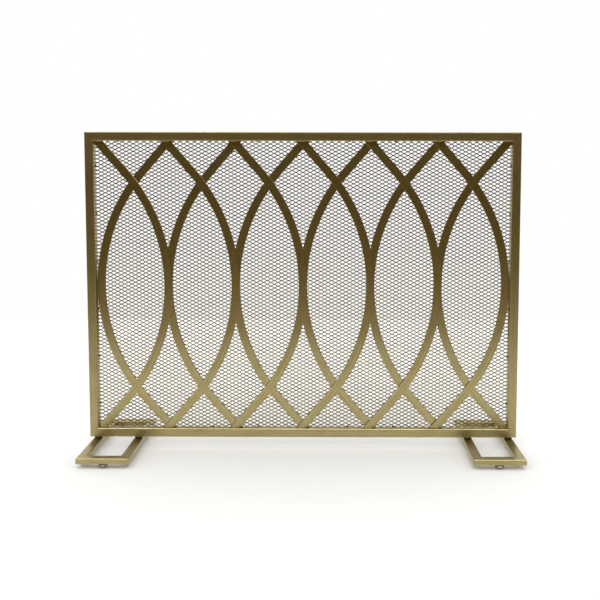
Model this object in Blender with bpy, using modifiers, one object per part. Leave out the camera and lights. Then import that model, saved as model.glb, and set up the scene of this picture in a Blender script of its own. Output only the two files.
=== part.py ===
# Flat fireplace screen: a mitred square-tube frame, filled with two layers of curved flat bar in
# front of an expanded-metal panel, and bolted to two open rectangular feet on screw-in glides.
# Metres, +Z up. The origin is on the floor under the middle of the frame, and the front faces -Y.

import math

import bmesh
import bpy
from mathutils import Matrix

# Room between pieces
GAP = 0.0003  # between two pieces that touch or are welded together
HOLE_PLAY = 0.0003  # radial, around a fastener in its drilled hole
THREAD_PLAY = 0.0002  # radial, between a plain shank and the insert it screws into

# Frame: square tube, mitred and welded at the corners
FRAME_WIDTH = 0.990
FRAME_HEIGHT = 0.705
FRAME_TUBE = 0.020
FRAME_WALL = 0.0015
FRAME_CORNER = 0.0022  # outside corner radius of the tube

# Curved flat bars: the front arcs bulge to the right, and as many rear arcs bulge to the left
COLUMNS = 6
BAR_WIDTH = 0.0188
BAR_THICKNESS = 0.003
BAR_EDGE = 0.0004  # chamfer along the bar's long edges
BAR_RECESS = 0.0085  # from the frame's front face to the front arcs
STILE_PLAY = 0.0006  # between the outermost arcs and the stiles
CROSSING_DROP = 0.004  # from a rail to the point where a pair's centre lines cross
END_ANGLE = math.radians(41)  # between a bar's straight ends and the vertical
ARC_STEPS = 24

# Expanded-metal panel, as a plain sheet of its outline and thickness
MESH_THICKNESS = 0.0010
MESH_PLAY = 0.0006  # between the panel's cut edges and the frame

# Feet: rectangular tube, mitred and welded into an open loop under each end of the frame
FOOT_WIDTH = 0.114
FOOT_DEPTH = 0.260
FOOT_TUBE_WIDTH = 0.020
FOOT_TUBE_HEIGHT = 0.0127
FOOT_WALL = 0.0015
FOOT_CORNER = 0.0018
FOOT_INSET = 0.007  # from the frame's end to the foot's outer side

# Flanged M6 inserts, in the underside of the bottom rail and of the feet
INSERT_RADIUS = 0.0045
FLANGE_RADIUS = 0.0065
FLANGE_THICKNESS = 0.0015
RAIL_INSERT_DEPTH = 0.012
FOOT_INSERT_DEPTH = 0.0085

# Black nylon spacers, which hold the rail clear of the feet
SPACER_RADIUS = 0.0085
SPACER_THICKNESS = 0.0024

# M6 button-head screws and washers, which hold the feet to the rail
SCREW_RADIUS = 0.003
SCREW_REACH = 0.009  # above the underside of the rail
WASHER_RADIUS = 0.0062
WASHER_THICKNESS = 0.0016
HEAD_RADIUS = 0.0053
HEAD_RIM = 0.0008
HEAD_HEIGHT = 0.0033
SOCKET_FLATS = 0.004
SOCKET_DEPTH = 0.0018

# Domed glides on M6 studs, which level the screen
GLIDE_RADIUS = 0.010
GLIDE_FLAT_RADIUS = 0.005
GLIDE_RIM = 0.0016
GLIDE_HEIGHT = 0.0075
GLIDE_EDGE = 0.0004
STUD_LENGTH = 0.010
DOME_STEPS = 6

TURNED_STEPS = 24
CORNER_STEPS = 3

# Heights above the floor
FOOT_FLANGE_BOTTOM = GLIDE_HEIGHT + GAP
FOOT_BOTTOM = FOOT_FLANGE_BOTTOM + FLANGE_THICKNESS + GAP
FOOT_MIDDLE = FOOT_BOTTOM + FOOT_TUBE_HEIGHT / 2
FOOT_TOP = FOOT_BOTTOM + FOOT_TUBE_HEIGHT
SPACER_BOTTOM = FOOT_TOP + GAP
RAIL_FLANGE_BOTTOM = SPACER_BOTTOM + SPACER_THICKNESS + GAP
FRAME_BOTTOM = RAIL_FLANGE_BOTTOM + FLANGE_THICKNESS + GAP
FRAME_MIDDLE = FRAME_BOTTOM + FRAME_HEIGHT / 2
WASHER_BOTTOM = FOOT_BOTTOM - GAP - WASHER_THICKNESS
HEAD_TOP = WASHER_BOTTOM - GAP

# Across and through the screen
OPENING_WIDTH = FRAME_WIDTH - 2 * FRAME_TUBE
OPENING_HEIGHT = FRAME_HEIGHT - 2 * FRAME_TUBE
PITCH = (OPENING_WIDTH - 2 * STILE_PLAY - BAR_WIDTH) / COLUMNS
FRONT_ARC_Y = -FRAME_TUBE / 2 + BAR_RECESS + BAR_THICKNESS / 2
REAR_ARC_Y = FRONT_ARC_Y + BAR_THICKNESS + GAP
MESH_Y = REAR_ARC_Y + BAR_THICKNESS / 2 + GAP + MESH_THICKNESS / 2
FOOT_X = FRAME_WIDTH / 2 - FOOT_INSET - FOOT_WIDTH / 2
SIDE_BAR_X = (FOOT_WIDTH - FOOT_TUBE_WIDTH) / 2
END_BAR_Y = (FOOT_DEPTH - FOOT_TUBE_WIDTH) / 2

MARGIN = 0.005  # how far a cutter runs past what it cuts
SEAM = 0.00001  # points closer than this are one


def clear_scene():
    for obj in list(bpy.data.objects):
        bpy.data.objects.remove(obj, do_unlink=True)


def new_collection(name):
    made = bpy.data.collections.new(name)
    bpy.context.scene.collection.children.link(made)
    return made


def new_material(name, colour, metallic, roughness):
    made = bpy.data.materials.new(name)
    made.use_nodes = True
    shader = made.node_tree.nodes["Principled BSDF"]
    shader.inputs["Base Color"].default_value = (*colour, 1)
    shader.inputs["Metallic"].default_value = metallic
    shader.inputs["Roughness"].default_value = roughness
    return made


def new_empty(name, location):
    made = bpy.data.objects.new(name, None)
    made.location = location
    pieces.objects.link(made)
    return made


def new_piece(name, mesh, material, parent, location=(0, 0, 0), rotation=(0, 0, 0)):
    made = bpy.data.objects.new(name, mesh)
    if not mesh.materials:
        mesh.materials.append(material)
    made.parent = parent
    made.location = location
    made.rotation_euler = rotation
    pieces.objects.link(made)
    return made


def new_cutter(name, mesh, parent=None, location=(0, 0, 0)):
    made = bpy.data.objects.new(name, mesh)
    made.parent = parent
    made.location = location
    made.hide_render = True
    made.display_type = "WIRE"
    cutters.objects.link(made)
    return made


def add_boolean(piece, cutter, operation):
    modifier = piece.modifiers.new(cutter.name, "BOOLEAN")
    modifier.operation = operation
    modifier.object = cutter


def rounded_rectangle(width, height, radius):
    corners = ((1, 1, 0), (-1, 1, 90), (-1, -1, 180), (1, -1, 270))
    outline = []
    for side_x, side_y, start in corners:
        for step in range(CORNER_STEPS + 1):
            angle = math.radians(start + 90 * step / CORNER_STEPS)
            x = side_x * (width / 2 - radius) + radius * math.cos(angle)
            y = side_y * (height / 2 - radius) + radius * math.sin(angle)
            outline.append((x, y))
    return outline


# A closed mesh from flat outlines in XY, thickened along Z and chamfered by edge
def extruded_mesh(name, outlines, thickness, edge=0):
    curve = bpy.data.curves.new(name, "CURVE")
    curve.dimensions = "2D"
    curve.fill_mode = "BOTH"
    curve.extrude = thickness / 2 - edge
    curve.bevel_depth = edge
    curve.bevel_resolution = 0
    for outline in outlines:
        spline = curve.splines.new("POLY")
        spline.points.add(len(outline) - 1)
        spline.use_cyclic_u = True
        for point, (x, y) in zip(spline.points, outline):
            point.co = (x, y, 0, 1)
    holder = bpy.data.objects.new(name, curve)
    bpy.context.scene.collection.objects.link(holder)
    bpy.context.view_layer.update()
    solid = holder.evaluated_get(bpy.context.evaluated_depsgraph_get())
    mesh = bpy.data.meshes.new_from_object(solid)
    mesh.name = name
    bpy.data.objects.remove(holder, do_unlink=True)
    shape = bmesh.new()
    shape.from_mesh(mesh)
    bmesh.ops.remove_doubles(shape, verts=shape.verts, dist=SEAM)
    bmesh.ops.recalc_face_normals(shape, faces=shape.faces)
    shape.to_mesh(mesh)
    shape.free()
    return mesh


def box_mesh(name, size):
    shape = bmesh.new()
    bmesh.ops.create_cube(shape, size=1)
    bmesh.ops.scale(shape, verts=shape.verts, vec=size)
    mesh = bpy.data.meshes.new(name)
    shape.to_mesh(mesh)
    shape.free()
    return mesh


# A cylinder along Z, or a hexagonal prism with segments = 6
def cylinder_mesh(name, radius, length, segments=TURNED_STEPS):
    shape = bmesh.new()
    bmesh.ops.create_cone(
        shape, cap_ends=True, segments=segments, radius1=radius, radius2=radius, depth=length
    )
    mesh = bpy.data.meshes.new(name)
    shape.to_mesh(mesh)
    shape.free()
    return mesh


# A (radius, height) profile to be turned about Z, listed from the top down its outer side
def profile_mesh(name, profile, ring):
    count = len(profile)
    edges = [(i, i + 1) for i in range(count - 1)]
    if ring:
        edges.append((count - 1, 0))
    mesh = bpy.data.meshes.new(name)
    mesh.from_pydata([(radius, 0, height) for radius, height in profile], edges, [])
    return mesh


def turn(piece):
    modifier = piece.modifiers.new("turn", "SCREW")
    modifier.steps = TURNED_STEPS
    modifier.render_steps = TURNED_STEPS
    modifier.use_merge_vertices = True
    modifier.merge_threshold = SEAM
    modifier.use_smooth_shade = True


# Square or rectangular tube along X, closed on all four sides and open at the ends
def tube_mesh(name, length, width, height, wall, corner):
    outer = rounded_rectangle(height, width, corner)
    inner = rounded_rectangle(height - 2 * wall, width - 2 * wall, max(corner - wall, wall / 4))
    mesh = extruded_mesh(name, [outer, inner], length)
    mesh.transform(Matrix.Rotation(math.radians(90), 4, "Y"))
    return mesh


# The prism that leaves a bar mitred at both ends, with its long side at -Y
def mitre_mesh(name, length, width, height):
    pull_back = GAP / 2 * math.sqrt(2)
    long_half = length / 2 + MARGIN - pull_back
    short_half = length / 2 - width - MARGIN - pull_back
    near = -width / 2 - MARGIN
    far = width / 2 + MARGIN
    outline = [(-long_half, near), (long_half, near), (short_half, far), (-short_half, far)]
    return extruded_mesh(name, [outline], height + 2 * MARGIN)


def mitred_bar(name, tube, mitre, parent, location, rotation):
    piece = new_piece(name, tube, gold, parent, location, rotation)
    cutter = new_cutter(name + "_mitre", mitre, piece)
    add_boolean(piece, cutter, "INTERSECT")
    piece.data.shade_smooth()
    piece.data.set_sharp_from_angle(angle=math.radians(40))
    return piece


def make_frame(frame):
    size = (FRAME_TUBE, FRAME_TUBE)
    rail = tube_mesh("rail_tube", FRAME_WIDTH, *size, FRAME_WALL, FRAME_CORNER)
    stile = tube_mesh("stile_tube", FRAME_HEIGHT, *size, FRAME_WALL, FRAME_CORNER)
    rail_mitre = mitre_mesh("rail_mitre", FRAME_WIDTH, *size)
    stile_mitre = mitre_mesh("stile_mitre", FRAME_HEIGHT, *size)
    side = (FRAME_WIDTH - FRAME_TUBE) / 2
    end = (FRAME_HEIGHT - FRAME_TUBE) / 2
    upright = math.radians(90)
    mitred_bar("top_rail", rail, rail_mitre, frame, (0, 0, end), (-upright, 0, 0))
    mitred_bar("left_stile", stile, stile_mitre, frame, (-side, 0, 0), (upright, upright, 0))
    mitred_bar("right_stile", stile, stile_mitre, frame, (side, 0, 0), (upright, -upright, 0))
    return mitred_bar("bottom_rail", rail, rail_mitre, frame, (0, 0, -end), (upright, 0, 0))


# Half-angle of the round stretch and its radius, so that the centre line leaves the crossing
# point at END_ANGLE, runs straight, and then bends round to bulge by one pitch
def arc_shape():
    rise = OPENING_HEIGHT / 2 - CROSSING_DROP
    angle = min(END_ANGLE, 2 * math.atan(PITCH / rise))
    radius = (rise * math.sin(angle) - PITCH * math.cos(angle)) / (1 - math.cos(angle))
    return angle, radius


# One side of a bar, at the given distance outside its centre line, from bottom to top
def arc_side(distance):
    angle, radius = arc_shape()
    centre = PITCH - radius
    overrun = BAR_WIDTH + MARGIN
    straight = (OPENING_HEIGHT / 2 - radius * math.sin(angle)) / math.cos(angle) + overrun
    round_stretch = []
    for step in range(ARC_STEPS + 1):
        turned = -angle + 2 * angle * step / ARC_STEPS
        reach = radius + distance
        round_stretch.append((centre + reach * math.cos(turned), reach * math.sin(turned)))
    x, z = round_stretch[-1]
    x -= straight * math.sin(angle)
    z += straight * math.cos(angle)
    return [(x, -z), *round_stretch, (x, z)]


def make_arcs(frame):
    half = BAR_WIDTH / 2 - BAR_EDGE
    outline = arc_side(half) + arc_side(-half)[::-1]
    mesh = extruded_mesh("arc_bar", [outline], BAR_THICKNESS, BAR_EDGE)
    mesh.shade_smooth()
    mesh.set_sharp_from_angle(angle=math.radians(30))
    inside = (OPENING_WIDTH - 2 * GAP, FRAME_TUBE, OPENING_HEIGHT - 2 * GAP)
    opening = new_cutter("opening", box_mesh("opening", inside), frame)
    upright = math.radians(90)
    for column in range(COLUMNS):
        left = (column - COLUMNS / 2) * PITCH
        front = new_piece(
            f"front_arc_{column + 1}", mesh, gold, frame, (left, FRONT_ARC_Y, 0), (upright, 0, 0)
        )
        rear = new_piece(
            f"rear_arc_{column + 1}",
            mesh,
            gold,
            frame,
            (left + PITCH, REAR_ARC_Y, 0),
            (upright, 0, math.pi),
        )
        add_boolean(front, opening, "INTERSECT")
        add_boolean(rear, opening, "INTERSECT")


def make_mesh_panel(frame):
    size = (OPENING_WIDTH - 2 * MESH_PLAY, MESH_THICKNESS, OPENING_HEIGHT - 2 * MESH_PLAY)
    new_piece("mesh_panel", box_mesh("mesh_panel", size), mesh_gold, frame, (0, MESH_Y, 0))


# A flanged insert with its flange's underside at height 0
def insert_profile(depth):
    bore = SCREW_RADIUS + THREAD_PLAY
    return [
        (INSERT_RADIUS, FLANGE_THICKNESS + GAP + depth),
        (INSERT_RADIUS, FLANGE_THICKNESS),
        (FLANGE_RADIUS, FLANGE_THICKNESS),
        (FLANGE_RADIUS, 0),
        (bore, 0),
        (bore, FLANGE_THICKNESS + GAP + depth),
    ]


# A button head with its seat at height 0, under a shank that reaches up to top
def screw_profile(top):
    profile = [(0, top), (SCREW_RADIUS, top), (SCREW_RADIUS, 0), (HEAD_RADIUS, 0)]
    crown = HEAD_HEIGHT - HEAD_RIM
    for step in range(4):
        angle = math.radians(60 * step / 3)
        radius = HEAD_RADIUS * math.cos(angle)
        height = -HEAD_RIM - crown * math.sin(angle) / math.sin(math.radians(60))
        profile.append((radius, height))
    profile.append((0, -HEAD_HEIGHT))
    return profile


# The stud above a domed glide that stands on a small flat
def glide_profile():
    top = GLIDE_HEIGHT + STUD_LENGTH
    chamfer = SCREW_RADIUS / 4
    shoulder = GLIDE_HEIGHT - GLIDE_EDGE
    profile = [
        (0, top),
        (SCREW_RADIUS - chamfer, top),
        (SCREW_RADIUS, top - chamfer),
        (SCREW_RADIUS, GLIDE_HEIGHT),
        (GLIDE_RADIUS - GLIDE_EDGE, GLIDE_HEIGHT),
        (GLIDE_RADIUS, shoulder),
    ]
    dome = GLIDE_HEIGHT - GLIDE_RIM
    for step in range(DOME_STEPS + 1):
        angle = math.radians(90 * step / DOME_STEPS)
        swell = GLIDE_RADIUS - GLIDE_FLAT_RADIUS
        profile.append((GLIDE_FLAT_RADIUS + swell * math.cos(angle), dome * (1 - math.sin(angle))))
    profile.append((0, 0))
    return profile


def ring_mesh(name, radius, bore, thickness):
    profile = [(radius, thickness), (radius, 0), (bore, 0), (bore, thickness)]
    return profile_mesh(name, profile, True)


# One copy of each small piece's mesh, which all its copies share
def hardware_meshes():
    rail_insert = profile_mesh("rail_insert", insert_profile(RAIL_INSERT_DEPTH), True)
    foot_insert = profile_mesh("foot_insert", insert_profile(FOOT_INSERT_DEPTH), True)
    bore = SCREW_RADIUS + HOLE_PLAY
    shank = FRAME_BOTTOM + SCREW_REACH - HEAD_TOP
    return {
        "rail_insert": rail_insert,
        "foot_insert": foot_insert,
        "spacer": ring_mesh("spacer", SPACER_RADIUS, bore, SPACER_THICKNESS),
        "washer": ring_mesh("washer", WASHER_RADIUS, bore, WASHER_THICKNESS),
        "screw": profile_mesh("screw", screw_profile(shank), False),
        "glide": profile_mesh("glide", glide_profile(), False),
        "insert_hole": cylinder_mesh("insert_hole", INSERT_RADIUS + HOLE_PLAY, 2 * MARGIN),
        "screw_hole": cylinder_mesh("screw_hole", bore, FOOT_TUBE_HEIGHT + 2 * MARGIN),
        "socket": cylinder_mesh("socket", SOCKET_FLATS / math.sqrt(3), 2 * SOCKET_DEPTH, 6),
    }


def make_turned(name, mesh, material, parent, location):
    piece = new_piece(name, mesh, material, parent, location)
    turn(piece)
    return piece


# Bolts a foot's side bar up to the rail: both holes, then the rail's insert, spacer, washer and screw
def bolt_bar_to_rail(name, bar, rail, parent, x, meshes):
    centre = parent.location.x + x
    rail_hole = new_cutter(
        name + "_rail_hole", meshes["insert_hole"], rail, (centre, -FRAME_TUBE / 2, 0)
    )
    rail_hole.rotation_euler = (math.radians(90), 0, 0)
    add_boolean(rail, rail_hole, "DIFFERENCE")
    add_boolean(bar, new_cutter(name + "_bar_hole", meshes["screw_hole"], bar), "DIFFERENCE")
    insert_place = (x, 0, RAIL_FLANGE_BOTTOM - FOOT_MIDDLE)
    make_turned(name + "_rail_insert", meshes["rail_insert"], zinc, parent, insert_place)
    spacer_place = (x, 0, SPACER_BOTTOM - FOOT_MIDDLE)
    make_turned(name + "_spacer", meshes["spacer"], nylon, parent, spacer_place)
    washer_place = (x, 0, WASHER_BOTTOM - FOOT_MIDDLE)
    make_turned(name + "_washer", meshes["washer"], zinc, parent, washer_place)
    screw_place = (x, 0, HEAD_TOP - FOOT_MIDDLE)
    screw = make_turned(name + "_screw", meshes["screw"], zinc, parent, screw_place)
    socket = new_cutter(name + "_socket", meshes["socket"], screw, (0, 0, -HEAD_HEIGHT))
    add_boolean(screw, socket, "DIFFERENCE")


# Puts a glide and its insert under the middle of a foot's front or rear bar
def add_glide(name, bar, parent, y, meshes):
    hole_place = (0, 0, -FOOT_TUBE_HEIGHT / 2)
    hole = new_cutter(name + "_hole", meshes["insert_hole"], bar, hole_place)
    add_boolean(bar, hole, "DIFFERENCE")
    insert_place = (0, y, FOOT_FLANGE_BOTTOM - FOOT_MIDDLE)
    make_turned(name + "_insert", meshes["foot_insert"], zinc, parent, insert_place)
    make_turned(name, meshes["glide"], nickel, parent, (0, y, -FOOT_MIDDLE))


def make_foot(side, sign, rail, meshes):
    foot = new_empty(side + "_foot", (sign * FOOT_X, 0, FOOT_MIDDLE))
    size = (FOOT_TUBE_WIDTH, FOOT_TUBE_HEIGHT)
    end_tube = tube_mesh("foot_end_tube", FOOT_WIDTH, *size, FOOT_WALL, FOOT_CORNER)
    side_tube = tube_mesh("foot_side_tube", FOOT_DEPTH, *size, FOOT_WALL, FOOT_CORNER)
    end_mitre = mitre_mesh("foot_end_mitre", FOOT_WIDTH, *size)
    side_mitre = mitre_mesh("foot_side_mitre", FOOT_DEPTH, *size)
    for place, turned, y in (("front", 0, -END_BAR_Y), ("rear", math.pi, END_BAR_Y)):
        name = f"{side}_foot_{place}_bar"
        bar = mitred_bar(name, end_tube, end_mitre, foot, (0, y, 0), (0, 0, turned))
        add_glide(f"{side}_{place}_glide", bar, foot, y, meshes)
    for place, towards in (("outer", sign), ("inner", -sign)):
        name = f"{side}_foot_{place}_bar"
        x = towards * SIDE_BAR_X
        quarter = (0, 0, towards * math.pi / 2)
        bar = mitred_bar(name, side_tube, side_mitre, foot, (x, 0, 0), quarter)
        bolt_bar_to_rail(f"{side}_{place}", bar, rail, foot, x, meshes)


clear_scene()
pieces = new_collection("fireplace_screen")
cutters = new_collection("cutters")
cutters.hide_render = True
gold = new_material("brushed_gold_lacquer", (0.33, 0.26, 0.12), 0.9, 0.36)
mesh_gold = new_material("gold_expanded_metal", (0.20, 0.16, 0.07), 0.8, 0.5)
zinc = new_material("zinc_plate", (0.55, 0.55, 0.56), 1, 0.38)
nylon = new_material("black_nylon", (0.03, 0.03, 0.03), 0, 0.5)
nickel = new_material("nickel_plate", (0.66, 0.63, 0.58), 1, 0.2)

frame_centre = new_empty("frame", (0, 0, FRAME_MIDDLE))
bottom_rail = make_frame(frame_centre)
make_arcs(frame_centre)
make_mesh_panel(frame_centre)
hardware = hardware_meshes()
make_foot("left", -1, bottom_rail, hardware)
make_foot("right", 1, bottom_rail, hardware)
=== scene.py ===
import math
import random

import bmesh
import bpy
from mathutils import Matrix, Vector


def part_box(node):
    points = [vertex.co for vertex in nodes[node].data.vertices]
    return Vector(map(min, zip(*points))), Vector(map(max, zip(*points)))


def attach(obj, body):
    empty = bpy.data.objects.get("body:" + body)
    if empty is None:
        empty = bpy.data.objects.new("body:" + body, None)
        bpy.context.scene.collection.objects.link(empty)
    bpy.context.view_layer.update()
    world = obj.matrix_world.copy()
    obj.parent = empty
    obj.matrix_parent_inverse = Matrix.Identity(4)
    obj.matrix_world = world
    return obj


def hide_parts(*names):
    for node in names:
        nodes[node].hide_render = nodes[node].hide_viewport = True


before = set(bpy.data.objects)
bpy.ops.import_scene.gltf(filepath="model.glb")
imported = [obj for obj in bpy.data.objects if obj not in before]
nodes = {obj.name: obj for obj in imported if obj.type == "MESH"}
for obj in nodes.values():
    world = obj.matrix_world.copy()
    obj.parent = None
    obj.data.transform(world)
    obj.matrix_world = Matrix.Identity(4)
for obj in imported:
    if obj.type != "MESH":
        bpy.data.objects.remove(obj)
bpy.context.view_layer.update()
print("screen loaded:", len(nodes), "CAD nodes")


# sRGB hex to the linear colour that shaders want
def toLinear(hexColour):
    channels = [int(hexColour[i:i + 2], 16) / 255 for i in (1, 3, 5)]
    linear = [c / 12.92 if c <= 0.04045 else ((c + 0.055) / 1.055) ** 2.4 for c in channels]
    return (*linear, 1.0)


# Adds one node. Sockets go by name or by number
def addNode(tree, kind, settings=None, values=None, links=None):
    node = tree.nodes.new("ShaderNode" + kind)
    for name, value in (settings or {}).items():
        setattr(node, name, value)
    for socket, value in (values or {}).items():
        node.inputs[socket].default_value = value
    for socket, source in (links or {}).items():
        tree.links.new(source, node.inputs[socket])
    return node


def newMaterial(name):
    material = bpy.data.materials.new(name)
    material.use_nodes = True
    tree = material.node_tree
    return material, tree, tree.nodes["Principled BSDF"]


def newPiece(name, vertices, faces, material, smooth=True):
    mesh = bpy.data.meshes.new(name)
    mesh.from_pydata(vertices, [], faces)
    shape = bmesh.new()
    shape.from_mesh(mesh)
    bmesh.ops.recalc_face_normals(shape, faces=shape.faces)
    shape.to_mesh(mesh)
    shape.free()
    mesh.materials.append(material)
    if smooth:
        mesh.shade_smooth()
    piece = bpy.data.objects.new(name, mesh)
    bpy.context.scene.collection.objects.link(piece)
    return piece


def dress(names, material):
    for name in names:
        slots = nodes[name].material_slots
        for slot in slots:
            slot.link = "OBJECT"
            slot.material = material


# Where things are, from the CAD boxes
leftStile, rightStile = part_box("left_stile"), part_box("right_stile")
topRail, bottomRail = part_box("top_rail"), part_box("bottom_rail")
opening = {
    "left": leftStile[1].x,
    "right": rightStile[0].x,
    "bottom": bottomRail[1].z,
    "top": topRail[0].z,
}
opening["middle"] = (opening["bottom"] + opening["top"]) / 2
columnCount = sum(name.startswith("front_arc_") for name in nodes)
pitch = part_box("front_arc_2")[1].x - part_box("front_arc_1")[1].x
tubeSize = topRail[1].z - topRail[0].z

arcBend = {
    "endAngle": math.radians(41),  # lean of a bar's straight ends
    "crossingDrop": 0.004,  # how far inside the rails the middles of two bars meet
    "stilePlay": 0.0006,  # between the outermost bars and the stiles
}
barWidth = opening["right"] - opening["left"] - columnCount * pitch - 2 * arcBend["stilePlay"]
rise = (opening["top"] - opening["bottom"]) / 2 - arcBend["crossingDrop"]
bendRadius = (rise * math.sin(arcBend["endAngle"]) - pitch * math.cos(arcBend["endAngle"])) / (
    1 - math.cos(arcBend["endAngle"])
)
nodeX = [(column - columnCount / 2) * pitch for column in range(columnCount + 1)]


# Camera, level with the upper half of the screen and a little right of its middle
cameraView = {
    "place": (0.061, -1.664, 0.637),
    "down": 3.94,
    "turn": 0.21,
    "roll": -0.09,
    "lens": 43.7,
    "sensor": 36,
    "shiftX": -0.045,
    "shiftY": -0.126,
}
camera = bpy.data.objects.new("camera", bpy.data.cameras.new("camera"))
bpy.context.scene.collection.objects.link(camera)
camera.location = cameraView["place"]
camera.rotation_euler = [
    math.radians(a) for a in (90 - cameraView["down"], cameraView["roll"], cameraView["turn"])
]
camera.data.lens = cameraView["lens"]
camera.data.sensor_width = cameraView["sensor"]
camera.data.shift_x = cameraView["shiftX"]
camera.data.shift_y = cameraView["shiftY"]
camera.data.dof.use_dof = False
bpy.context.scene.camera = camera


gold = {
    "light": "#b9ac86",  # crests of the brush marks
    "dark": "#a09257",  # troughs
    "cloud": "#94864f",  # where the lacquer lies thick
    "tubeRoughness": (0.30, 0.42),
    "barRoughness": (0.24, 0.36),
    "fineGrain": 0.00045,  # across the marks; real ones are 0.1 to 0.2 mm, drawn coarser to show
    "streak": 0.0026,  # bundles of marks that read as streaks from across a room
    "grainLength": 0.030,
    "streakLength": 0.22,
    "streakShare": 0.55,  # of the streaks in the tone, against the fine grain
    "cloudSize": 0.0455,  # patches of thicker lacquer
    "cloudShare": 0.35,
    "peelSize": 0.00143,  # orange peel left by the spray gun
    "peelShare": 0.35,
    "depth": 0.00003,
    "bump": 0.6,
    "coat": 0.2,
    "coatRoughness": 0.18,
}


# Coordinates as (along the bar, across it, through it), in metres
def straightGrain(tree, axis):
    place = addNode(tree, "TexCoord").outputs["Object"]
    apart = addNode(tree, "SeparateXYZ", links={0: place}).outputs
    order = {"x": (0, 1, 2), "y": (1, 0, 2), "z": (2, 0, 1)}[axis]
    return addNode(tree, "CombineXYZ", links={i: apart[k] for i, k in enumerate(order)}).outputs[0]


# The same for a bent bar: straight ends, and round between them
def bentGrain(tree, centreX, side):
    place = addNode(tree, "TexCoord").outputs["Object"]
    apart = addNode(tree, "SeparateXYZ", links={0: place}).outputs

    def calc(operation, *terms):
        numbers = {i: t for i, t in enumerate(terms) if isinstance(t, (int, float))}
        sources = {i: t for i, t in enumerate(terms) if i not in numbers}
        return addNode(tree, "Math", {"operation": operation}, numbers, sources).outputs[0]

    dx = calc("MULTIPLY", calc("SUBTRACT", apart[0], centreX), side)
    dz = calc("SUBTRACT", apart[2], opening["middle"])
    angle = calc("ARCTAN2", dz, dx)
    angle = calc("MINIMUM", calc("MAXIMUM", angle, -arcBend["endAngle"]), arcBend["endAngle"])
    cosine, sine = calc("COSINE", angle), calc("SINE", angle)
    across = calc("ADD", calc("MULTIPLY", dx, cosine), calc("MULTIPLY", dz, sine))
    beyond = calc("SUBTRACT", calc("MULTIPLY", dz, cosine), calc("MULTIPLY", dx, sine))
    along = calc("MULTIPLY_ADD", angle, bendRadius, beyond)
    return addNode(tree, "CombineXYZ", links={0: along, 1: across, 2: apart[1]}).outputs[0]


# Satin gold: long brush marks under a thin clear lacquer, cloudy where the lacquer is thick
def goldLacquer(name, roughness, grainOf, *grainArgs):
    material, tree, shader = newMaterial(name)
    grain = grainOf(tree, *grainArgs)
    scales = {
        "fine": (gold["grainLength"], gold["fineGrain"]),
        "streak": (gold["streakLength"], gold["streak"]),
    }
    marks = {}
    for key, (long, short) in scales.items():
        stretched = addNode(
            tree, "Mapping", values={"Scale": (1 / long, 1 / short, 1 / short)}, links={0: grain}
        )
        marks[key] = addNode(
            tree, "TexNoise", values={"Scale": 1.0, "Detail": 3.0}, links={0: stretched.outputs[0]}
        ).outputs[0]
    cloud = addNode(
        tree, "TexNoise", values={"Scale": 1 / gold["cloudSize"], "Detail": 2.0}, links={0: grain}
    ).outputs[0]
    peel = addNode(
        tree, "TexNoise", values={"Scale": 1 / gold["peelSize"], "Detail": 1.0}, links={0: grain}
    ).outputs[0]
    both = addNode(
        tree,
        "Mix",
        values={0: gold["streakShare"]},
        links={2: marks["fine"], 3: marks["streak"]},
    ).outputs[0]
    tone = addNode(tree, "MapRange", values={1: 0.36, 2: 0.64}, links={0: both}).outputs[0]
    base = addNode(
        tree,
        "Mix",
        {"data_type": "RGBA"},
        {6: toLinear(gold["dark"]), 7: toLinear(gold["light"])},
        {0: tone},
    ).outputs[2]
    cloudy = addNode(
        tree, "MapRange", values={1: 0.45, 2: 0.75, 4: gold["cloudShare"]}, links={0: cloud}
    ).outputs[0]
    colour = addNode(
        tree,
        "Mix",
        {"data_type": "RGBA"},
        {7: toLinear(gold["cloud"])},
        {0: cloudy, 6: base},
    ).outputs[2]
    low, high = roughness
    rough = addNode(
        tree, "MapRange", values={1: 0.3, 2: 0.7, 3: high, 4: low}, links={0: both}
    ).outputs[0]
    bumps = addNode(
        tree,
        "Math",
        {"operation": "MULTIPLY_ADD"},
        {1: gold["peelShare"]},
        {0: peel, 2: marks["fine"]},
    ).outputs[0]
    bump = addNode(
        tree,
        "Bump",
        values={"Strength": gold["bump"], "Distance": gold["depth"]},
        links={"Height": bumps},
    ).outputs[0]
    tree.links.new(colour, shader.inputs["Base Color"])
    tree.links.new(rough, shader.inputs["Roughness"])
    tree.links.new(bump, shader.inputs["Normal"])
    shader.inputs["Metallic"].default_value = 1.0
    shader.inputs["Coat Weight"].default_value = gold["coat"]
    shader.inputs["Coat Roughness"].default_value = gold["coatRoughness"]
    return material


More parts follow.
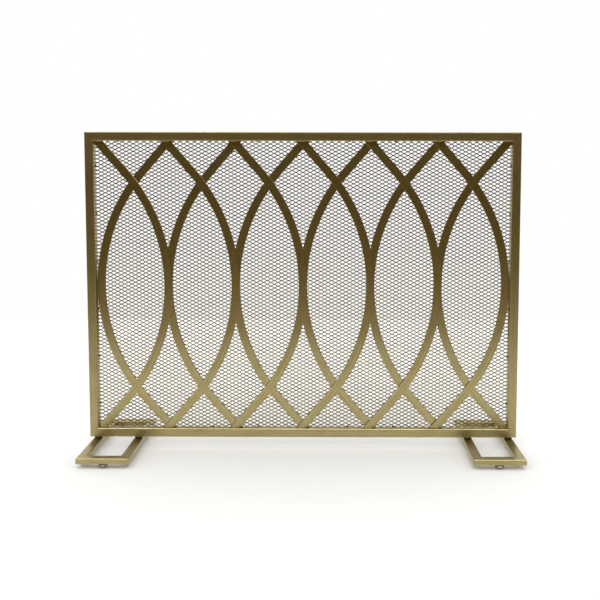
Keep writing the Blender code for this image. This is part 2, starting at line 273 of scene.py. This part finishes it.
goldAlongX = goldLacquer("goldLacquerBrushedAlongX", gold["tubeRoughness"], straightGrain, "x")
goldAlongY = goldLacquer("goldLacquerBrushedAlongY", gold["tubeRoughness"], straightGrain, "y")
goldAlongZ = goldLacquer("goldLacquerBrushedAlongZ", gold["tubeRoughness"], straightGrain, "z")
frameBars = {"x": ["top_rail", "bottom_rail"], "z": ["left_stile", "right_stile"]}
dress(frameBars["x"], goldAlongX)
dress(frameBars["z"], goldAlongZ)
footBarCount = 0
for side in ("left", "right"):
    crossBars = [f"{side}_foot_front_bar", f"{side}_foot_rear_bar"]
    sideBars = [f"{side}_foot_outer_bar", f"{side}_foot_inner_bar"]
    dress(crossBars, goldAlongX)
    dress(sideBars, goldAlongY)
    footBarCount += len(crossBars) + len(sideBars)
for column in range(columnCount):
    frontCentre = nodeX[column] + pitch - bendRadius
    rearCentre = nodeX[column + 1] - pitch + bendRadius
    for layer, centre, towards in (("front", frontCentre, 1.0), ("rear", rearCentre, -1.0)):
        name = f"goldLacquerBentBar{layer.title()}{column + 1}"
        lacquer = goldLacquer(name, gold["barRoughness"], bentGrain, centre, towards)
        dress([f"{layer}_arc_{column + 1}"], lacquer)
frameBarCount = sum(len(bars) for bars in frameBars.values())
print("gold lacquer on", frameBarCount + footBarCount + 2 * columnCount, "bars")


sheet = {
    "long": 0.0165,  # diamond, knot to knot, along the screen
    "short": 0.0086,
    "bond": 0.0031,  # flat length at the top and bottom of a knot
    "knotReach": 0.0027,  # from a knot's middle to the corner of a diamond
    "knotHeight": 0.0029,
    "thickness": 0.0010,
    "twist": 0.00018,  # how far the press leaves a knot's edges proud
    "light": "#948759",
    "dark": "#6b5e31",
    "roughness": (0.32, 0.46),
    "dust": 0.00111,  # grains of dry overspray; real ones are 0.1 mm, drawn coarser to show
    "dustDepth": 0.00005,
    "patch": 0.0167,  # where one pass of the spray gun ends
}


# Gold sprayed on pressed steel: duller and darker than the bars, with a dry, dusty overspray
def sprayedSteel():
    material, tree, shader = newMaterial("goldSprayedExpandedSteel")
    place = addNode(tree, "TexCoord").outputs["Object"]
    dust = addNode(
        tree, "TexNoise", values={"Scale": 1 / sheet["dust"], "Detail": 2.0}, links={0: place}
    ).outputs[0]
    patch = addNode(
        tree, "TexNoise", values={"Scale": 1 / sheet["patch"], "Detail": 2.0}, links={0: place}
    ).outputs[0]
    mixed = addNode(tree, "Mix", values={0: 0.5}, links={2: dust, 3: patch}).outputs[0]
    tone = addNode(tree, "MapRange", values={1: 0.38, 2: 0.62}, links={0: mixed}).outputs[0]
    colour = addNode(
        tree,
        "Mix",
        {"data_type": "RGBA"},
        {6: toLinear(sheet["dark"]), 7: toLinear(sheet["light"])},
        {0: tone},
    ).outputs[2]
    low, high = sheet["roughness"]
    rough = addNode(
        tree, "MapRange", values={1: 0.3, 2: 0.7, 3: low, 4: high}, links={0: dust}
    ).outputs[0]
    bump = addNode(
        tree,
        "Bump",
        values={"Strength": 0.4, "Distance": sheet["dustDepth"]},
        links={"Height": dust},
    ).outputs[0]
    tree.links.new(colour, shader.inputs["Base Color"])
    tree.links.new(rough, shader.inputs["Roughness"])
    tree.links.new(bump, shader.inputs["Normal"])
    shader.inputs["Metallic"].default_value = 1.0
    return material


# Half of the sheet: knots on a staggered grid, each joined to four others by a strand
def expandedSheet(name, left, right, material):
    half = {"x": sheet["long"] / 2, "z": sheet["short"] / 2}
    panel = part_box("mesh_panel")
    middleY = (panel[0].y + panel[1].y) / 2
    bottom, top = panel[0].z, panel[1].z
    outline = [
        (sheet["bond"] / 2, 1),
        (-sheet["bond"] / 2, 1),
        (-sheet["knotReach"], 0),
        (-sheet["bond"] / 2, -1),
        (sheet["bond"] / 2, -1),
        (sheet["knotReach"], 0),
    ]
    columns = range(math.floor(left / half["x"]) - 1, math.ceil(right / half["x"]) + 2)
    rows = range(-1, math.ceil((top - bottom) / half["z"]) + 2)
    vertices, faces, first = [], [], {}
    for i in columns:
        for k in rows:
            if (i + k) % 2:
                continue
            first[i, k] = len(vertices)
            for depth in (-1, 1):
                for x, up in outline:
                    vertices.append((
                        i * half["x"] + x,
                        middleY + depth * sheet["thickness"] / 2 - up * sheet["twist"],
                        bottom + k * half["z"] + up * sheet["knotHeight"] / 2,
                    ))
    # corners of a knot: 0 top right, 1 top left, 2 left, 3 bottom left, 4 bottom right, 5 right
    for (i, k), at in first.items():
        faces.append([at + n for n in range(6)])
        faces.append([at + 6 + n for n in reversed(range(6))])
        upRight, upLeft = first.get((i + 1, k + 1)), first.get((i - 1, k + 1))
        if upRight is not None:
            for n in (0, 6):
                faces.append([at + 5 + n, upRight + 3 + n, upRight + 2 + n, at + 0 + n])
            faces.append([at + 5, upRight + 3, upRight + 9, at + 11])
            faces.append([at + 0, upRight + 2, upRight + 8, at + 6])
        if upLeft is not None:
            for n in (0, 6):
                faces.append([at + 1 + n, upLeft + 5 + n, upLeft + 4 + n, at + 2 + n])
            faces.append([at + 1, upLeft + 5, upLeft + 11, at + 7])
            faces.append([at + 2, upLeft + 4, upLeft + 10, at + 8])
        faces.append([at + 0, at + 1, at + 7, at + 6])
        faces.append([at + 3, at + 4, at + 10, at + 9])
    mesh = bpy.data.meshes.new(name)
    mesh.from_pydata(vertices, [], faces)
    shape = bmesh.new()
    shape.from_mesh(mesh)
    cuts = (
        ((left, 0, 0), (-1, 0, 0)),
        ((right, 0, 0), (1, 0, 0)),
        ((0, 0, bottom), (0, 0, -1)),
        ((0, 0, top), (0, 0, 1)),
    )
    for point, outward in cuts:
        bmesh.ops.bisect_plane(
            shape,
            geom=[*shape.verts, *shape.edges, *shape.faces],
            plane_co=point,
            plane_no=outward,
            clear_outer=True,
        )
    bmesh.ops.holes_fill(shape, edges=[e for e in shape.edges if e.is_boundary])
    bmesh.ops.recalc_face_normals(shape, faces=shape.faces)
    shape.to_mesh(mesh)
    shape.free()
    mesh.materials.append(material)
    piece = bpy.data.objects.new(name, mesh)
    bpy.context.scene.collection.objects.link(piece)
    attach(piece, "screen")
    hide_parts("mesh_panel")
    return piece


sprayed = sprayedSteel()
panelLow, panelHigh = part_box("mesh_panel")
halves = [
    expandedSheet("expandedSheetLeft", panelLow.x, 0.0, sprayed),
    expandedSheet("expandedSheetRight", 0.0, panelHigh.x, sprayed),
]
print("expanded sheet:", sum(len(piece.data.polygons) for piece in halves), "faces")


hardware = {
    "zinc": ("#b4b6b6", "#93969a"),
    "zincRoughness": (0.26, 0.40),
    "nickel": ("#a39c8c", "#857c6a"),
    "nickelRoughness": (0.16, 0.30),
    # spacer colours: black nylon, and partly painted shade standing in for the shadowed gap under
    # the frame
    "nylon": ("#1c1b1a", "#2a2927"),
    "nylonRoughness": (0.45, 0.7),
    "nylonIor": 1.53,
    "zincBloom": 0.00385,  # patches of thinner plating
    "nickelBloom": 0.00556,
    "toolMark": 0.0003,  # between rings; a lathe leaves 0.05 to 0.1 mm, drawn coarser to show
    "toolDepth": 0.00002,
    "turnedWidth": 0.02,  # of the turned face that the rings are fitted to
    "ringUnit": 0.314,  # rings of a wave texture lie this far apart at a scale of 1
    "spark": 0.000417,  # mould texture; a real one is 0.05 to 0.1 mm, drawn coarser to show
    "sparkDepth": 0.00004,
    "rub": 0.003125,
    "threadPitch": 0.001,
    "threadSteps": 18,
    "threadRadii": (0.00285, 0.00310),  # root, sunk in the stud, and crest
    "threadFlanks": (0.42, 0.06),  # half widths of the root and the crest, in pitches
    "threadFrom": 0.0082,  # above the underside of the glide
    "threadBelowTip": 0.0012,
}


# Plated steel: faint rings from the lathe, and a bloom where the plating is thin
def platedSteel(name, colours, roughness, bloomSize):
    material, tree, shader = newMaterial(name)
    place = addNode(tree, "TexCoord").outputs
    centred = addNode(
        tree, "VectorMath", {"operation": "SUBTRACT"}, {1: (0.5, 0.5, 0.5)}, {0: place["Generated"]}
    ).outputs[0]
    width = hardware["turnedWidth"]
    sized = addNode(
        tree, "VectorMath", {"operation": "MULTIPLY"}, {1: (width, width, 0.0)}, {0: centred}
    ).outputs[0]
    rings = addNode(
        tree,
        "TexWave",
        {"wave_type": "RINGS", "rings_direction": "Z"},
        {"Scale": hardware["ringUnit"] / hardware["toolMark"], "Distortion": 0.6, "Detail": 1.0},
        {0: sized},
    ).outputs[1]
    cloud = addNode(
        tree, "TexNoise", values={"Scale": 1 / bloomSize, "Detail": 3.0}, links={0: place["Object"]}
    ).outputs[0]
    bloom = addNode(tree, "MapRange", values={1: 0.4, 2: 0.65}, links={0: cloud}).outputs[0]
    colour = addNode(
        tree,
        "Mix",
        {"data_type": "RGBA"},
        {6: toLinear(colours[0]), 7: toLinear(colours[1])},
        {0: bloom},
    ).outputs[2]
    rough = addNode(
        tree,
        "MapRange",
        values={1: 0.3, 2: 0.7, 3: roughness[0], 4: roughness[1]},
        links={0: cloud},
    ).outputs[0]
    bump = addNode(
        tree,
        "Bump",
        values={"Strength": 0.35, "Distance": hardware["toolDepth"]},
        links={"Height": rings},
    ).outputs[0]
    tree.links.new(colour, shader.inputs["Base Color"])
    tree.links.new(rough, shader.inputs["Roughness"])
    tree.links.new(bump, shader.inputs["Normal"])
    shader.inputs["Metallic"].default_value = 1.0
    return material


zinc, nickel = (
    platedSteel(
        f"{plating}PlatedTurnedSteel",
        hardware[plating],
        hardware[plating + "Roughness"],
        hardware[plating + "Bloom"],
    )
    for plating in ("zinc", "nickel")
)


# Moulded black nylon, its black partly painted shade for the shadowed gap between frame and feet:
# fine matt spark texture, greyer where it has rubbed
def mouldedNylonWithGapShade():
    material, tree, shader = newMaterial("blackNylonMouldedWithPaintedGapShade")
    place = addNode(tree, "TexCoord").outputs["Object"]
    spark = addNode(
        tree, "TexNoise", values={"Scale": 1 / hardware["spark"], "Detail": 2.0}, links={0: place}
    ).outputs[0]
    rubbed = addNode(
        tree, "TexNoise", values={"Scale": 1 / hardware["rub"], "Detail": 2.0}, links={0: place}
    ).outputs[0]
    tone = addNode(tree, "MapRange", values={1: 0.45, 2: 0.7}, links={0: rubbed}).outputs[0]
    colour = addNode(
        tree,
        "Mix",
        {"data_type": "RGBA"},
        {6: toLinear(hardware["nylon"][0]), 7: toLinear(hardware["nylon"][1])},
        {0: tone},
    ).outputs[2]
    low, high = hardware["nylonRoughness"]
    rough = addNode(tree, "MapRange", values={3: low, 4: high}, links={0: spark}).outputs[0]
    bump = addNode(
        tree,
        "Bump",
        values={"Strength": 0.5, "Distance": hardware["sparkDepth"]},
        links={"Height": spark},
    ).outputs[0]
    tree.links.new(colour, shader.inputs["Base Color"])
    tree.links.new(rough, shader.inputs["Roughness"])
    tree.links.new(bump, shader.inputs["Normal"])
    shader.inputs["IOR"].default_value = hardware["nylonIor"]
    return material


glides = [name for name in nodes if name.endswith("_glide")]
# the spacers' black is partly painted shade, darkening the gap between the frame's underside and
# the feet
dress([n for n in nodes if n.endswith("_spacer")], mouldedNylonWithGapShade())
dress([n for n in nodes if n.endswith(("_insert", "_washer", "_screw"))], zinc)
dress(glides, nickel)


# An M6 thread, wound round the plain stud of a glide and fading out at both ends
def studThread(glide):
    low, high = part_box(glide)
    centreX, centreY = (low.x + high.x) / 2, (low.y + high.y) / 2
    start, end = low.z + hardware["threadFrom"], high.z - hardware["threadBelowTip"]
    pitchZ, steps = hardware["threadPitch"], hardware["threadSteps"]
    root, crest = hardware["threadRadii"]
    rootHalf, crestHalf = hardware["threadFlanks"]
    section = ((root, -rootHalf), (crest, -crestHalf), (crest, crestHalf), (root, rootHalf))
    count = int((end - start) / pitchZ * steps)
    vertices, faces = [], []
    for step in range(count + 1):
        angle = 2 * math.pi * step / steps
        fade = min(1.0, step / steps, (count - step) / steps)
        for radius, lift in section:
            reach = root + (radius - root) * fade
            vertices.append((
                centreX + reach * math.cos(angle),
                centreY + reach * math.sin(angle),
                start + pitchZ * (step / steps + lift),
            ))
    for step in range(count):
        a = 4 * step
        for n in range(4):
            m = (n + 1) % 4
            faces.append([a + n, a + m, a + 4 + m, a + 4 + n])
    faces += [[0, 1, 2, 3], [4 * count + n for n in (3, 2, 1, 0)]]
    thread = newPiece(glide + "Thread", vertices, faces, nickel)
    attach(thread, glide)


for glide in glides:
    studThread(glide)
print("hardware plated,", len(glides), "studs threaded")


weld = {
    "reach": 0.0015,  # radius of a bead
    "proud": 0.45,  # in radii, from a bar's face out to the middle of a bead
    "lift": 0.35,  # in radii, from a rail's face to the middle of a bead
    "rearReach": 0.9,  # the smaller beads of the rear bars, against the front ones
    "tackReach": 0.85,
    "tackProud": 0.6,
    "tackLift": 0.5,
    "ripple": 0.0034,  # from one ripple of a bead to the next
    "endLength": 0.021,  # along the cut end of a bent bar
    "tackLength": 0.007,
    "tackSpacing": 0.105,
    "seamInset": 0.00012,  # the ground mitre welds sit this far under the lacquered faces
    "seamGap": 0.00029,
    "seamSteps": 4,  # round each corner of the tube
    "light": "#b9ad7c",
    "dark": "#867a49",
    "roughness": (0.20, 0.34),
    "pit": 0.000667,
    "pitDepth": 0.0001,
}


# Lacquer over a weld left as laid: no brush marks, small pits and a duller skin
def weldLacquer():
    material, tree, shader = newMaterial("goldLacquerOverWeld")
    place = addNode(tree, "TexCoord").outputs["Object"]
    skin = addNode(
        tree, "TexNoise", values={"Scale": 1 / weld["pit"], "Detail": 3.0}, links={0: place}
    ).outputs[0]
    tone = addNode(tree, "MapRange", values={1: 0.35, 2: 0.65}, links={0: skin}).outputs[0]
    colour = addNode(
        tree,
        "Mix",
        {"data_type": "RGBA"},
        {6: toLinear(weld["dark"]), 7: toLinear(weld["light"])},
        {0: tone},
    ).outputs[2]
    low, high = weld["roughness"]
    rough = addNode(tree, "MapRange", values={3: high, 4: low}, links={0: skin}).outputs[0]
    bump = addNode(
        tree, "Bump", values={"Strength": 0.5, "Distance": weld["pitDepth"]}, links={"Height": skin}
    ).outputs[0]
    tree.links.new(colour, shader.inputs["Base Color"])
    tree.links.new(rough, shader.inputs["Roughness"])
    tree.links.new(bump, shader.inputs["Normal"])
    shader.inputs["Metallic"].default_value = 1.0
    return material


weldGold = weldLacquer()
shake = random.Random(7)


# Vertices and faces of one rippled bead between two points
def beadShape(start, end, reach, vertices, faces):
    start, end = Vector(start), Vector(end)
    run = end - start
    along = run.normalized()
    sideways = along.orthogonal().normalized()
    upward = along.cross(sideways)
    ripples = max(2, round(run.length / weld["ripple"]))
    rings, around = ripples * 5, 10
    first = len(vertices)
    for ring in range(1, rings):
        share = ring / rings
        swell = abs(math.sin(math.pi * ripples * share)) ** 0.6
        taper = math.sqrt(max(0.0, 1 - abs(2 * share - 1) ** 4))
        radius = reach * taper * (0.72 + 0.28 * swell) * shake.uniform(0.94, 1.06)
        centre = start + run * share + sideways * reach * shake.uniform(-0.07, 0.07)
        for n in range(around):
            angle = 2 * math.pi * n / around
            outward = math.cos(angle) * sideways + math.sin(angle) * upward
            vertices.append(centre + radius * outward)
    tips = len(vertices)
    vertices += [start, end]
    for ring in range(rings - 2):
        for n in range(around):
            a, b = first + ring * around + n, first + ring * around + (n + 1) % around
            faces.append([a, b, b + around, a + around])
    last = first + (rings - 2) * around
    for n in range(around):
        faces.append([tips, first + (n + 1) % around, first + n])
        faces.append([tips + 1, last + n, last + (n + 1) % around])


def weldPiece(name, beads):
    vertices, faces = [], []
    for start, end, reach in beads:
        beadShape(start, end, reach, vertices, faces)
    piece = newPiece(name, vertices, faces, weldGold)
    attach(piece, "screen")


# Where a bent bar's cut end meets a rail, on the room side
def barEndBeads(railZ, inward):
    beads = []
    lean = arcBend["crossingDrop"] * math.tan(arcBend["endAngle"])
    cutHalf = barWidth / math.cos(arcBend["endAngle"]) / 2
    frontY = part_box("front_arc_1")[0].y - weld["reach"] * weld["proud"]
    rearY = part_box("rear_arc_1")[0].y - weld["reach"] * weld["proud"]
    z = railZ + inward * weld["reach"] * weld["lift"]
    for column in range(columnCount):
        middle = nodeX[column] - lean
        half = weld["endLength"] / 2
        beads.append(((middle - half, frontY, z), (middle + half, frontY, z), weld["reach"]))
        outer = nodeX[column + 1] + lean + cutHalf - 0.0008
        inner = outer - 2 * lean - 0.0012 if column + 1 < columnCount else outer - weld["endLength"]
        beads.append(((inner, rearY, z), (outer, rearY, z), weld["reach"] * weld["rearReach"]))
    return beads


def sheetTacks():
    beads = []
    y = panelHigh.y + weld["reach"] * weld["tackProud"]
    inset = weld["reach"] * weld["tackLift"]
    half, reach = weld["tackLength"] / 2, weld["reach"] * weld["tackReach"]
    width, height = opening["right"] - opening["left"], opening["top"] - opening["bottom"]
    across, up = round(width / weld["tackSpacing"]), round(height / weld["tackSpacing"])
    for n in range(across):
        x = opening["left"] + width * (n + 0.5) / across
        for z in (opening["bottom"] + inset, opening["top"] - inset):
            beads.append(((x - half, y, z), (x + half, y, z), reach))
    for n in range(up):
        z = opening["bottom"] + height * (n + 0.5) / up
        for x in (opening["left"] + inset, opening["right"] - inset):
            beads.append(((x, y, z - half), (x, y, z + half), reach))
    return beads


weldPiece("barWeldsTop", barEndBeads(opening["top"], -1))
weldPiece("barWeldsBottom", barEndBeads(opening["bottom"], 1))
weldPiece("sheetTackWelds", sheetTacks())


# A mitre weld ground flush: a ring of the tube's own section across the corner
def mitreSeam(name, corner, inward, depthAxis, width, height, wall, radius):
    corner, inward, depthAxis = Vector(corner), Vector(inward).normalized(), Vector(depthAxis)
    through = inward.cross(depthAxis).normalized()
    loops = []
    for shrink in (weld["seamInset"], wall - weld["seamInset"]):
        loop = []
        halfW, halfH = width / 2 - shrink, height / 2 - shrink
        bend = max(radius - shrink, 0.0002)
        for sideW, sideH, begin in ((1, 1, 0), (-1, 1, 90), (-1, -1, 180), (1, -1, 270)):
            for step in range(weld["seamSteps"] + 1):
                angle = math.radians(begin + 90 * step / weld["seamSteps"])
                across = sideW * (halfW - bend) + bend * math.cos(angle)
                deep = sideH * (halfH - bend) + bend * math.sin(angle)
                diagonal = (width / 2 + across) * math.sqrt(2)
                loop.append(corner + inward * diagonal + depthAxis * deep)
        loops.append(loop)
    vertices = []
    for side in (-1, 1):
        for loop in loops:
            vertices += [point + through * side * weld["seamGap"] / 2 for point in loop]
    count = len(loops[0])
    faces = []
    for n in range(count):
        m = (n + 1) % count
        faces.append([n, m, count + m, count + n])
        faces.append([2 * count + n, 2 * count + m, 3 * count + m, 3 * count + n])
        faces.append([n, m, 2 * count + m, 2 * count + n])
        faces.append([count + n, count + m, 3 * count + m, 3 * count + n])
    piece = newPiece(name, vertices, faces, weldGold, False)
    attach(piece, "screen")
    return piece


tube = {"wall": 0.0015, "frameCorner": 0.0022, "footCorner": 0.0018}
for sideX, stile in ((-1, leftStile), (1, rightStile)):
    edgeX = stile[0].x if sideX < 0 else stile[1].x
    sideName = "Left" if sideX < 0 else "Right"
    for sideZ, levelName, edgeZ in ((-1, "Bottom", bottomRail[0].z), (1, "Top", topRail[1].z)):
        seam = mitreSeam(
            f"frameSeam{levelName}{sideName}",
            (edgeX, (stile[0].y + stile[1].y) / 2, edgeZ),
            (-sideX, 0, -sideZ),
            (0, 1, 0),
            tubeSize,
            tubeSize,
            tube["wall"],
            tube["frameCorner"],
        )
for side in ("left", "right"):
    front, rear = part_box(f"{side}_foot_front_bar"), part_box(f"{side}_foot_rear_bar")
    footWidth, footHeight = front[1].y - front[0].y, front[1].z - front[0].z
    middleZ = (front[0].z + front[1].z) / 2
    for sideX, acrossName, edgeX in ((-1, "Left", front[0].x), (1, "Right", front[1].x)):
        for sideY, depthName, edgeY in ((-1, "Front", front[0].y), (1, "Rear", rear[1].y)):
            seam = mitreSeam(
                f"{side}FootSeam{depthName}{acrossName}",
                (edgeX, edgeY, middleZ),
                (-sideX, -sideY, 0),
                (0, 0, 1),
                footWidth,
                footHeight,
                tube["wall"],
                tube["footCorner"],
            )
print("welds laid")


studio = {
    "floor": "#fafaf9",
    "floorHalf": 1.5,
    "floorRoughness": 0.9,
    "sky": "#ffffff",
    "skyStrength": 0.96,
    "backdropStrength": 1.0,
    "curtainHem": "#947b3a",  # warm curtain that only mirrors see, all round the screen
    "curtain": "#645226",
    "curtainStrength": 0.8,
    "curtainFade": 0.5,  # height where the hem's colour ends
    "curtainSteps": 72,
    "curtainReach": (1.45, 1.02),  # to the sides, and to the front and back
    "curtainHeights": (0.24, 1.30),  # behind the screen, and in front of it
    "lampStrength": 0.75,
    "lampAngle": 80,
    "lampTilt": (8, 8),  # towards the front, and to the left, from overhead
    "softboxSize": (3.4, 0.7),
    "softboxes": {  # place and strength
        "Front": ((0.0, -0.86, 2.1), 6.0),
        "Rear": ((0.0, 1.35, 1.45), 3.2),
    },
}


def makeFloor():
    material, tree, shader = newMaterial("paleStudioFloor")
    shader.inputs["Base Color"].default_value = toLinear(studio["floor"])
    shader.inputs["Roughness"].default_value = studio["floorRoughness"]
    size = studio["floorHalf"]
    corners = [(-size, -size, 0), (size, -size, 0), (size, size, 0), (-size, size, 0)]
    floor = newPiece("studioFloor", corners, [(0, 1, 2, 3)], material, False)


def forMirrorsOnly(obj):
    obj.visible_camera = False
    obj.visible_diffuse = False
    obj.visible_shadow = False
    obj.visible_transmission = False


# Long boxes for the shine on the rounded edges: one overhead in front, one lower behind
def makeSoftbox(side, place, strength):
    material, tree, _ = newMaterial("studioSoftbox" + side)
    glow = addNode(tree, "Emission", values={"Strength": strength})
    tree.links.new(glow.outputs[0], tree.nodes["Material Output"].inputs["Surface"])
    halfX, halfY = studio["softboxSize"][0] / 2, studio["softboxSize"][1] / 2
    corners = [(-halfX, -halfY, 0), (halfX, -halfY, 0), (halfX, halfY, 0), (-halfX, halfY, 0)]
    box = newPiece("studioSoftbox" + side, corners, [(0, 3, 2, 1)], material, False)
    box.location = place
    forMirrorsOnly(box)


def makeCurtain():
    material, tree, _ = newMaterial("darkStudioCurtain")
    height = addNode(
        tree,
        "SeparateXYZ",
        links={0: addNode(tree, "TexCoord").outputs["Object"]},
    ).outputs[2]
    upward = addNode(
        tree, "MapRange", values={2: studio["curtainFade"]}, links={0: height}
    ).outputs[0]
    colour = addNode(
        tree,
        "Mix",
        {"data_type": "RGBA"},
        {6: toLinear(studio["curtainHem"]), 7: toLinear(studio["curtain"])},
        {0: upward},
    ).outputs[2]
    glow = addNode(
        tree, "Emission", values={"Strength": studio["curtainStrength"]}, links={"Color": colour}
    )
    tree.links.new(glow.outputs[0], tree.nodes["Material Output"].inputs["Surface"])
    vertices, faces = [], []
    steps = studio["curtainSteps"]
    low, high = studio["curtainHeights"]
    for step in range(steps):
        angle = 2 * math.pi * step / steps
        squareness = (math.cos(angle) ** 4 + math.sin(angle) ** 4) ** -0.25
        x = studio["curtainReach"][0] * squareness * math.cos(angle)
        y = studio["curtainReach"][1] * squareness * math.sin(angle)
        forward = 0.5 - 0.5 * math.sin(angle)
        vertices += [(x, y, 0.0), (x, y, low + (high - low) * forward)]
        after = (2 * step + 2) % (2 * steps)
        faces.append([2 * step, after, after + 1, 2 * step + 1])
    curtain = newPiece("studioCurtain", vertices, faces, material)
    forMirrorsOnly(curtain)


# White to the camera, softer as a light
def makeSky():
    world = bpy.data.worlds.new("studioSky")
    bpy.context.scene.world = world
    world.use_nodes = True
    tree = world.node_tree
    ray = addNode(tree, "LightPath").outputs["Is Camera Ray"]
    strength = addNode(
        tree,
        "MapRange",
        values={3: studio["skyStrength"], 4: studio["backdropStrength"]},
        links={0: ray},
    )
    back = tree.nodes["Background"]
    back.inputs["Color"].default_value = toLinear(studio["sky"])
    tree.links.new(strength.outputs[0], back.inputs["Strength"])


# One wide soft lamp overhead
def makeLamp():
    data = bpy.data.lights.new("studioLamp", "SUN")
    data.energy = studio["lampStrength"]
    data.angle = math.radians(studio["lampAngle"])
    lamp = bpy.data.objects.new("studioLamp", data)
    forward, left = studio["lampTilt"]
    lamp.rotation_euler = (math.radians(forward), math.radians(-left), 0)
    lamp.visible_glossy = False
    bpy.context.scene.collection.objects.link(lamp)


makeLamp()
makeFloor()
makeCurtain()
for side, (place, strength) in studio["softboxes"].items():
    makeSoftbox(side, place, strength)
makeSky()
bpy.context.scene.view_settings.view_transform = "Standard"
print("studio set")
